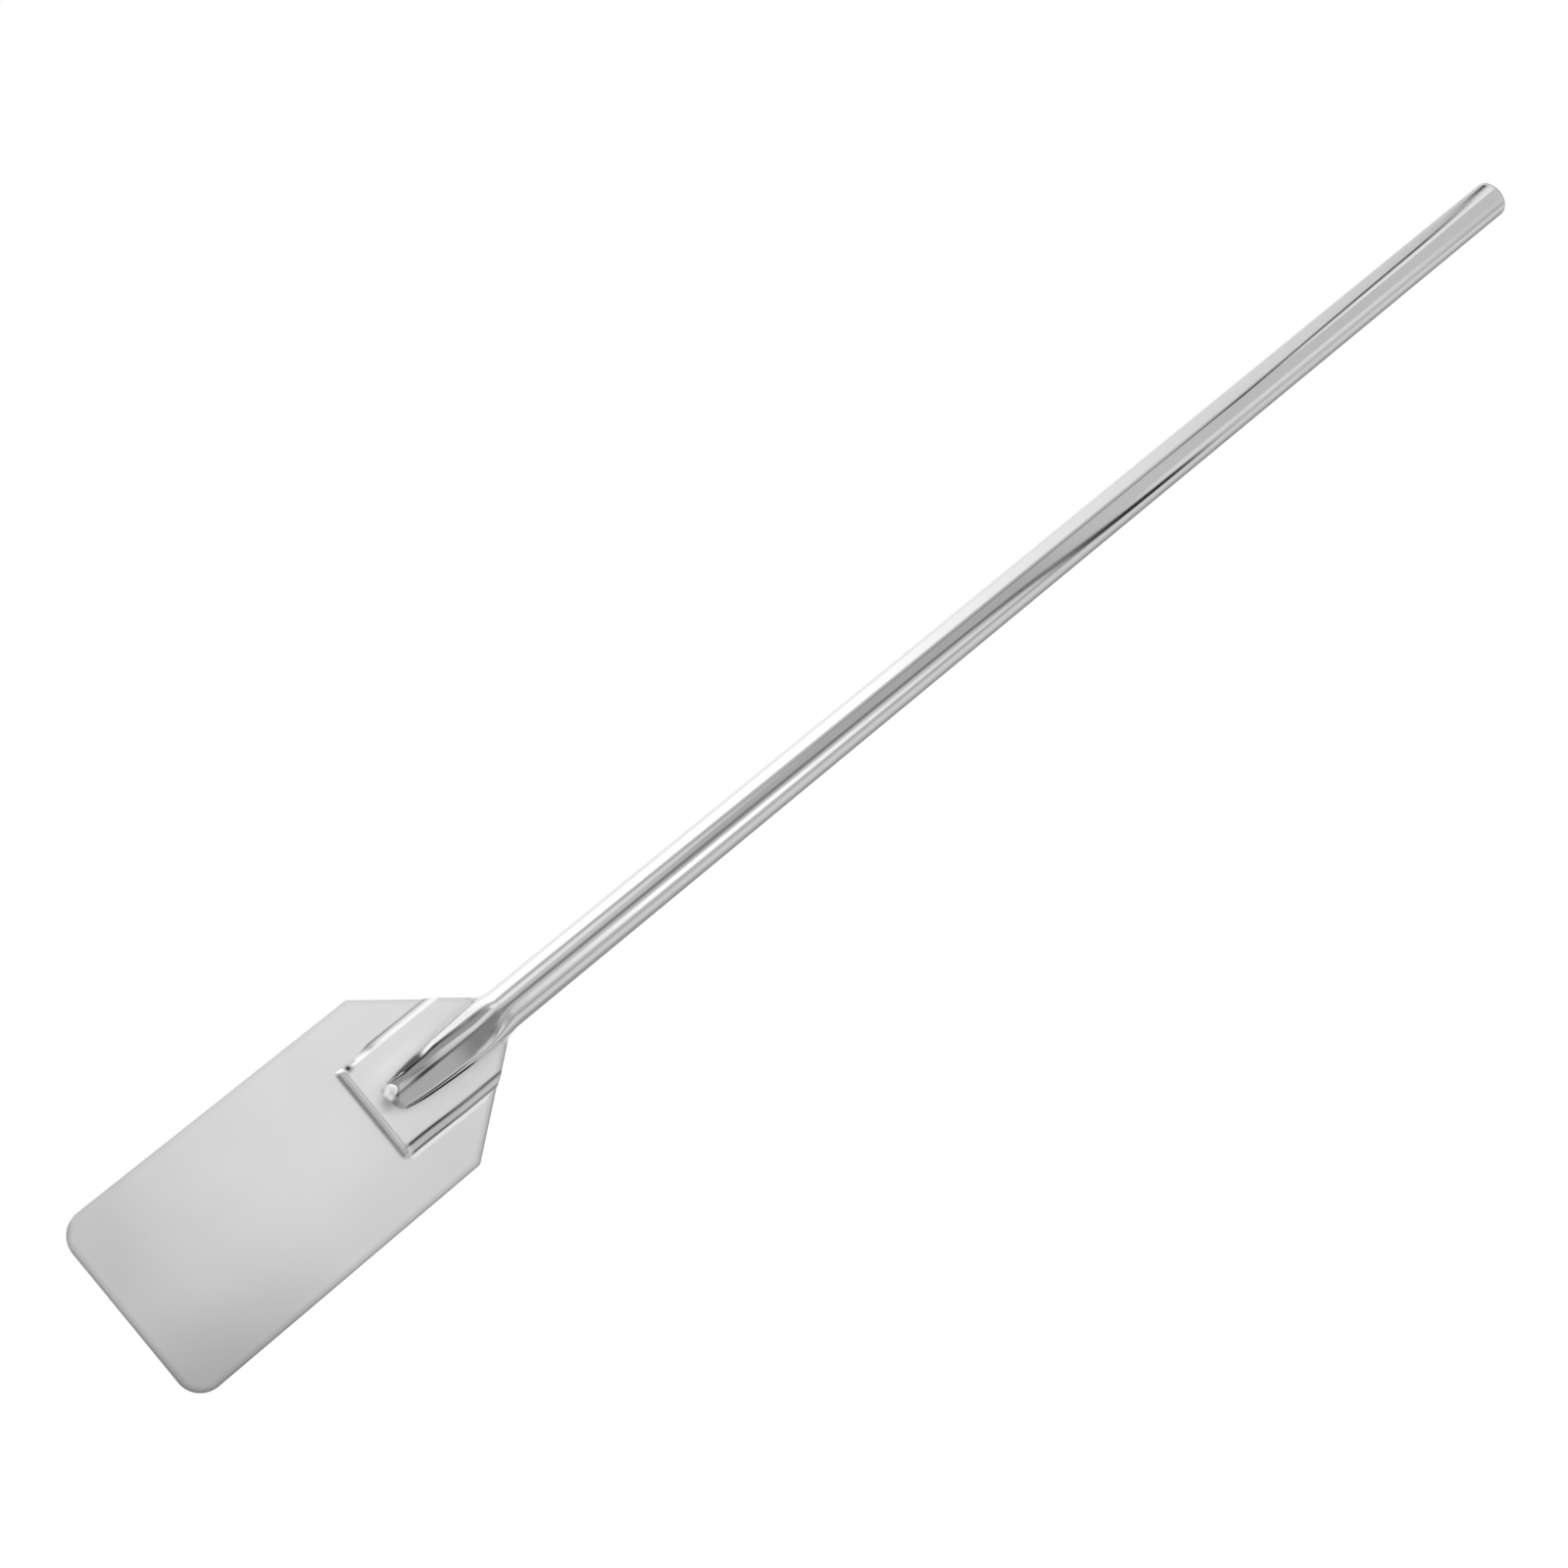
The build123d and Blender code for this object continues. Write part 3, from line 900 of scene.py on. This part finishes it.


# Painted shade on the tube beside the weld: a dark streak down its left edge, a painted shadow in a
# crescent beside the lump of weld, and a darker patch low on the left edge. Each change is (start,
# length) or (start, length, before, after).
STREAK_DARKNESS = 1.1
STREAK_REACH = (195.0 * MM, 4.0 * MM, 0.8 * MM, 2.5 * MM)
STREAK_SOFTNESS = 1.1 * MM
STREAK_START = (189.0 * MM, 5.0 * MM, 0.35, 1.0)
STREAK_END = (208.0 * MM, 6.0 * MM, 1.0, 0.0)
CRESCENT_TIP = (3.6 * MM, 184.6 * MM)
CRESCENT_SLOPE = 0.85
CRESCENT_EDGE = (0.0, 1.4 * MM, 0.0, 0.5)
CRESCENT_LEFT = (-5.0 * MM, 2.0 * MM, 0.0, 1.0)
LOW_SHADE_START = (188.0 * MM, 3.0 * MM, 0.0, 0.42)
LOW_SHADE_END = (198.0 * MM, 2.0 * MM, 1.0, 0.0)
LOW_SHADE_REACH = (1.7 * MM, 1.0 * MM, 1.0, 0.0)


def tube_painted_shade(x, z):
    """How much painted shade the tube has at (x, z), beside the weld."""
    inward = tube_half_sizes(z)[0] + left_swell(z) + x
    along = change(z, *STREAK_START) * change(z, *STREAK_END)
    reach = change(z, *STREAK_REACH)
    streak = STREAK_DARKNESS * along * change(inward, reach, STREAK_SOFTNESS, 1.0, 0.0)
    low_shade = change(z, *LOW_SHADE_START) * change(z, *LOW_SHADE_END) * change(inward, *LOW_SHADE_REACH)
    below = CRESCENT_TIP[1] + CRESCENT_SLOPE * (CRESCENT_TIP[0] - x) - z
    crescent = change(below, *CRESCENT_EDGE) * change(x, *CRESCENT_LEFT)
    return max(streak, low_shade) + crescent


FACE_SHADE_MIDDLE = (7.2 * MM, 252.0 * MM)
FACE_SHADE_SLOPE = -0.2
FACE_SHADE_WIDTH = 1.95 * MM
FACE_SHADE_START = (243.0 * MM, 8.0 * MM, 0.0, 0.68)
FACE_SHADE_END = (264.0 * MM, 6.0 * MM, 1.0, 0.0)


def face_turn_shade(x, z):
    """Painted shade on the tube where its flat right face turns into the round."""
    middle = FACE_SHADE_MIDDLE[0] + FACE_SHADE_SLOPE * (z - FACE_SHADE_MIDDLE[1])
    return change(z, *FACE_SHADE_START) * change(z, *FACE_SHADE_END) * painted_line(x - middle, FACE_SHADE_WIDTH)


def side_bow(first, last, z, inset, count):
    """The points that carry the ring round from first to last, across the sheet's edge-on plane."""
    half_width, half_depth = tube_half_sizes(z)
    points = []
    for i in range(1, count):
        flat = first.lerp(last, i / count)
        reach = (half_width - inset) * math.sqrt(1 - (flat.y / (half_depth - inset)) ** 2)
        points.append(Vector((math.copysign(reach, flat.x), flat.y, z)))
    return points


def whole_ring(z, inset, around, across):
    """The section's ring at z, above the slot: the back's arc, the left side, the front's, the right."""
    front, back = half_arc(z, inset, -1, around), half_arc(z, inset, 1, around)
    left = side_bow(back[-1], front[-1], z, inset, across)
    right = side_bow(front[0], back[0], z, inset, across)
    return back + left + front[::-1] + right


def build_tube(material):
    """The handle: two half shells that straddle the sheet, joining into one long round tube."""
    around, across_slot, stations, crowding = 96, 4, 64, 1.6
    fine, coarse = 0.75 * MM, 12.0 * MM
    top = TUBE_END - GROOVE
    slot_heights = spaced(FLARE_HEIGHT, SLOT_END, fine) + [SLOT_END]
    heights = spaced(SLOT_END, ROUND_HEIGHT, fine) + spaced(ROUND_HEIGHT, top, coarse) + [top]
    bm = bmesh.new()
    mark_layer = bm.verts.layers.float.new(MARK)
    skins = []
    for inset in (0.0, TUBE_WALL):
        shells = {}
        for face in (-1, 1):
            rows = [mouth_arc((i / stations) ** crowding, inset, face, around) for i in range(stations)]
            rows += [half_arc(z, inset, face, around) for z in slot_heights]
            shells[face] = [[bm.verts.new(p) for p in row] for row in rows]
            for low, high in zip(shells[face], shells[face][1:]):
                strip(bm, low, high)
        rings = []
        for z in heights:
            rings.append([bm.verts.new(p) for p in whole_ring(z, inset, around, across_slot)])
        for low, high in zip(rings, rings[1:]):
            strip(bm, low, high, closed=True)
        skins.append((shells, rings))
    (outer_shells, outer_rings), (inner_shells, inner_rings) = skins
    for face in (-1, 1):
        outer, inner = outer_shells[face], inner_shells[face]
        strip(bm, outer[0], inner[0])
        for end in (0, -1):
            strip(bm, [row[end] for row in outer], [row[end] for row in inner])
    gap = around + across_slot
    for first in (around, around + gap):
        for i in range(first, first + across_slot):
            j = (i + 1) % len(outer_rings[0])
            k = i % len(outer_rings[0])
            bm.faces.new((outer_rings[0][k], outer_rings[0][j], inner_rings[0][j], inner_rings[0][k]))
    strip(bm, outer_rings[-1], inner_rings[-1], closed=True)
    bmesh.ops.remove_doubles(bm, verts=bm.verts, dist=MERGE)
    for vertex in bm.verts:
        vertex[mark_layer] = tube_painted_shade(vertex.co.x, vertex.co.z) + face_turn_shade(vertex.co.x, vertex.co.z)
    for face in (-1, 1):
        add_mouth_fill(bm, face)
    add_piece("handle", bm, material, ["handle_tube"])


# -------------------- end cap


def turned(bm, profile, segments=128):
    """A solid of revolution about the handle's axis from an open profile of (radius, height)."""
    rings = []
    for radius, z in profile:
        if radius == 0:
            rings.append([bm.verts.new((0, 0, z))])
            continue
        ring = []
        for i in range(segments):
            angle = 2 * math.pi * i / segments
            ring.append(bm.verts.new((radius * math.cos(angle), radius * math.sin(angle), z)))
        rings.append(ring)
    for low, high in zip(rings, rings[1:]):
        if len(low) == 1 or len(high) == 1:
            tip, ring = (low[0], high) if len(low) == 1 else (high[0], low)
            for i in range(segments):
                bm.faces.new((ring[i], ring[(i + 1) % segments], tip))
        else:
            strip(bm, low, high, closed=True)


SPIGOT_RADIUS = TUBE_RADIUS - TUBE_WALL - 0.1 * MM
CAP_RIM_RADIUS = 0.5 * MM
DOME_RISE = 0.2 * MM


def build_end_cap(material):
    """The domed disc with its rounded rim and the spigot inside the tube."""
    rim_steps, dome_steps = 8, 12
    profile = [(0, SPIGOT_BOTTOM), (SPIGOT_RADIUS, SPIGOT_BOTTOM), (SPIGOT_RADIUS, TUBE_END)]
    profile += [(TUBE_RADIUS - GROOVE, TUBE_END), (TUBE_RADIUS, TUBE_END + GROOVE)]
    face_radius = TUBE_RADIUS - CAP_RIM_RADIUS
    centre_z = OVERALL_LENGTH - DOME_RISE - CAP_RIM_RADIUS
    for i in range(rim_steps + 1):
        angle = math.pi / 2 * i / rim_steps
        radius = face_radius + CAP_RIM_RADIUS * math.cos(angle)
        profile.append((radius, centre_z + CAP_RIM_RADIUS * math.sin(angle)))
    for i in range(1, dome_steps + 1):
        radius = face_radius * (1 - i / dome_steps)
        profile.append((radius, OVERALL_LENGTH - DOME_RISE * (radius / face_radius) ** 2))
    bm = bmesh.new()
    turned(bm, profile)
    add_piece("end_cap", bm, material, ["handle_end_cap"])


CAP_WELD_DIP = 0.04 * MM
CAP_WELD_MARK = 0.32


def build_cap_weld(material):
    """The ground ring of weld between tube and cap, a shade below flush."""
    steps = 6
    profile = []
    for i in range(steps + 1):
        share = i / steps
        sink = CAP_WELD_DIP * math.sin(math.pi * share)
        profile.append((TUBE_RADIUS - sink, TUBE_END - GROOVE + 2 * GROOVE * share))
    profile.append((TUBE_RADIUS - GROOVE, TUBE_END))
    profile.append(profile[0])
    bm = bmesh.new()
    mark_layer = bm.verts.layers.float.new(MARK)
    turned(bm, profile)
    bmesh.ops.remove_doubles(bm, verts=bm.verts, dist=MERGE)
    for vertex in bm.verts:
        vertex[mark_layer] = CAP_WELD_MARK
    add_piece("cap_weld", bm, material, ["end_cap_weld"])


# -------------------- welds on the blade


NUB_CENTRE = (-2.9 * MM, 185.9 * MM)
NUB_HALF_WIDTH = 4.4 * MM
NUB_HALF_LENGTH = 5.1 * MM
NUB_DEPTH = 6.2 * MM
NUB_LEAN = math.radians(24)
NUB_POWER = 2.3
NUB_CORNERS = 5
NUB_CORNER_TURN = math.radians(80)
NUB_CORNER_SWELL = 0.045
NUB_SHADE = (0.0, 3.0 * MM, 0.0, 0.35)
NUB_SHADE_SLOPE = 0.4


def nub_painted_shade(x, z):
    """Painted shade on the lump, darker towards its right and top."""
    across = x - NUB_CENTRE[0] + NUB_SHADE_SLOPE * (z - NUB_CENTRE[1])
    return change(across, *NUB_SHADE)


def add_nub(bm, face):
    """A rounded lump with soft corners, that leans to the left as it goes up."""
    centre = Vector(NUB_CENTRE)
    mark_layer = bm.verts.layers.float.new(MARK)
    rings, segments = 24, 64
    power = NUB_POWER
    rows = []
    for i in range(rings):
        lift = math.pi / 2 * i / rings
        shrink = math.cos(lift) ** (2 / power)
        row = []
        for j in range(segments):
            turn = 2 * math.pi * j / segments
            reach = shrink * (abs(math.cos(turn)) ** power + abs(math.sin(turn)) ** power) ** (-1 / power)
            reach *= 1 + NUB_CORNER_SWELL * math.cos(NUB_CORNERS * (turn - NUB_CORNER_TURN))
            along = NUB_HALF_LENGTH * reach * math.sin(turn)
            across = NUB_HALF_WIDTH * reach * math.cos(turn)
            x = centre.x + across * math.cos(NUB_LEAN) - along * math.sin(NUB_LEAN)
            z = centre.y + across * math.sin(NUB_LEAN) + along * math.cos(NUB_LEAN)
            y = HALF_SHEET + (NUB_DEPTH - HALF_SHEET) * math.sin(lift) ** (2 / power)
            row.append(bm.verts.new((x, face * y, z)))
        rows.append(row)
    for low, high in zip(rows, rows[1:]):
        strip(bm, low, high, closed=True)
    tip = bm.verts.new((centre.x, face * NUB_DEPTH, centre.y))
    for i in range(segments):
        bm.faces.new((rows[-1][i], rows[-1][(i + 1) % segments], tip))
    bm.faces.new(rows[0])
    for vertex in bm.verts:
        vertex[mark_layer] = nub_painted_shade(vertex.co.x, vertex.co.z)


MOUTH_TUCK = 0.3 * MM
MOUTH_FOOT_SHARE = 0.97
# Painted shade over the whole mouth wall, and a darker painted line of shade near its right
MOUTH_PAINTED_SHADE = 0.3
MOUTH_LINE_DARKNESS = 0.3
MOUTH_LINE_PLACE = 2.2 * MM
MOUTH_LINE_WIDTH = 2.0 * MM


def add_mouth_fill(bm, face):
    """The steep pinched wall that closes the tube's mouth, from its edge to a foot on the sheet."""
    around, steps = 48, 8
    edge = mouth_arc(0.0, 0.0, face, around)
    tucked = mouth_arc(0.0, MOUTH_TUCK, face, around)
    tucked = [point + Vector((0, 0, MOUTH_TUCK)) for point in tucked]
    rows = [[Vector((point.x, face * HALF_SHEET, point.z)) for point in tucked], tucked]
    for k in range(steps + 1):
        row = []
        for i, point in enumerate(edge):
            reach = NOSE_REACH * math.sin(math.pi * i / around)
            foot = Vector((point.x * MOUTH_FOOT_SHARE, face * HALF_SHEET, point.z - reach))
            row.append(point.lerp(foot, k / steps))
        rows.append(row)
    mark_layer = bm.verts.layers.float[MARK]
    meshed = []
    for row in rows:
        vertices = [bm.verts.new(point) for point in row]
        for vertex in vertices:
            line = painted_line(vertex.co.x - MOUTH_LINE_PLACE, MOUTH_LINE_WIDTH)
            vertex[mark_layer] = MOUTH_PAINTED_SHADE + MOUTH_LINE_DARKNESS * line
        meshed.append(vertices)
    for low, high in zip(meshed, meshed[1:] + meshed[:1]):
        strip(bm, low, high)
    for end in (0, -1):
        bm.faces.new([row[end] for row in meshed])


def build_nose_weld(face, material):
    """The lump of weld on the tube's pinched mouth, on the front (-1) or back (1) of the sheet."""
    bm = bmesh.new()
    add_nub(bm, face)
    side = "front" if face < 0 else "back"
    add_piece("nose_bead_" + side, bm, material, ["nose_weld_" + side])


SEAM_START = MOUTH_START + MOUTH_CORNER - 0.3 * MM
SEAM_END = SLOT_END - 1.0 * MM
SEAM_TIP = 0.35
SEAM_START_RISE = 4
SEAM_END_FALL = 6
# Painted shade along each seam, as change() takes it: darkest low down, fading towards the top
RIGHT_SEAM_PAINTED_SHADE = (229.0 * MM, 9.0 * MM, 1.2, 0.35)
LEFT_SEAM_PAINTED_SHADE = (206.0 * MM, 10.0 * MM, 0.85, 0.1)
CONTACT_STEP = 0.004


def build_seam_weld(face, side, material):
    """A fine concave fillet along one edge of the tube, on one face of the panel."""
    stations, across, crowding = 80, 6, 1.5
    full_leg = RIGHT_SEAM_LEG if side > 0 else LEFT_SEAM_LEG
    darkness = RIGHT_SEAM_PAINTED_SHADE if side > 0 else LEFT_SEAM_PAINTED_SHADE
    bm = bmesh.new()
    mark_layer = bm.verts.layers.float.new(MARK)
    rows = []
    for i in range(stations + 1):
        share = (i / stations) ** crowding
        z = SEAM_START + (SEAM_END - SEAM_START) * share
        low_leg, high_leg = SEAM_TIP + SEAM_START_RISE * share, SEAM_TIP + SEAM_END_FALL * (1 - share)
        leg = full_leg * min(1.0, low_leg, high_leg)
        root = slot_turn(z, 0.0, side)
        contact = root
        while section_point(contact, z, 0.0)[1] < HALF_SHEET + leg:
            contact += side * CONTACT_STEP
        contact_x = abs(section_point(contact, z, 0.0)[0])
        root_x = abs(section_point(root, z, 0.0)[0])
        row = [(root_x, HALF_SHEET)]
        for k in range(across + 1):
            angle = math.pi / 2 * k / across
            x = contact_x + (root_x + leg - contact_x) * (1 - math.cos(angle))
            y = HALF_SHEET + leg * (1 - math.sin(angle))
            row.append((x, y))
        vertices = [bm.verts.new((side * x, face * y, z)) for x, y in row]
        for vertex in vertices:
            vertex[mark_layer] = change(z, *darkness)
        rows.append(vertices)
    for low, high in zip(rows, rows[1:]):
        strip(bm, low, high, closed=True)
    bm.faces.new(rows[0])
    bm.faces.new(rows[-1])
    place = ("front" if face < 0 else "back") + ("_right" if side > 0 else "_left")
    add_piece("seam_bead_" + place, bm, material, ["seam_weld_" + place])


SHOULDER_BEAD_RADIUS = 16.0 * MM
SHOULDER_BEAD_DEPTH = 3.0 * MM
SHOULDER_BEAD_TIP = 0.45


def build_shoulder_weld(side, material):
    """The concave bead between one of the blade's shoulders and the tube."""
    lean = math.atan2(1.0, SHOULDER_SLOPE)
    tangent = SHOULDER_BEAD_RADIUS * math.tan(lean / 2)
    corner = Vector((FLARE_HALF_WIDTH, SHOULDER_APEX - SHOULDER_SLOPE * FLARE_HALF_WIDTH))
    centre = corner + Vector((SHOULDER_BEAD_RADIUS, tangent))
    steps, round_steps = 16, 8
    bm = bmesh.new()
    rows = []
    for i in range(steps + 1):
        angle = math.pi + lean * i / steps
        outward = Vector((math.cos(angle), math.sin(angle)))
        crest = centre + outward * SHOULDER_BEAD_RADIUS
        swell = SHOULDER_BEAD_TIP + (1 - SHOULDER_BEAD_TIP) * math.sin(math.pi * i / steps)
        thickness = SHOULDER_BEAD_HALF * swell
        row = []
        for k in range(round_steps + 1):
            turn = math.pi * k / round_steps
            inward = thickness * (1 - math.sin(turn))
            point = crest + outward * inward
            row.append((point.x, -thickness * math.cos(turn), point.y))
        deep = crest + outward * SHOULDER_BEAD_DEPTH
        row.append((deep.x, thickness, deep.y))
        row.append((deep.x, -thickness, deep.y))
        rows.append([bm.verts.new((side * x, y, z)) for x, y, z in row])
    for low, high in zip(rows, rows[1:]):
        strip(bm, low, high, closed=True)
    bm.faces.new(rows[0])
    bm.faces.new(rows[-1])
    place = "right" if side > 0 else "left"
    add_piece("shoulder_bead_" + place, bm, material, ["shoulder_weld_" + place])


def build_pieces():
    """Every piece of the paddle, each in the place of its CAD node."""
    weld = weld_metal()
    build_blade(satin_sheet())
    build_tube(polished_tube())
    build_end_cap(polished_cap())
    build_cap_weld(weld)
    for face in (-1, 1):
        build_nose_weld(face, weld)
        for side in (-1, 1):
            build_seam_weld(face, side, weld)
    for side in (-1, 1):
        build_shoulder_weld(side, weld)


bpy.context.scene.view_settings.view_transform = "Standard"
build_world()
build_stage()
build_camera()
build_pieces()
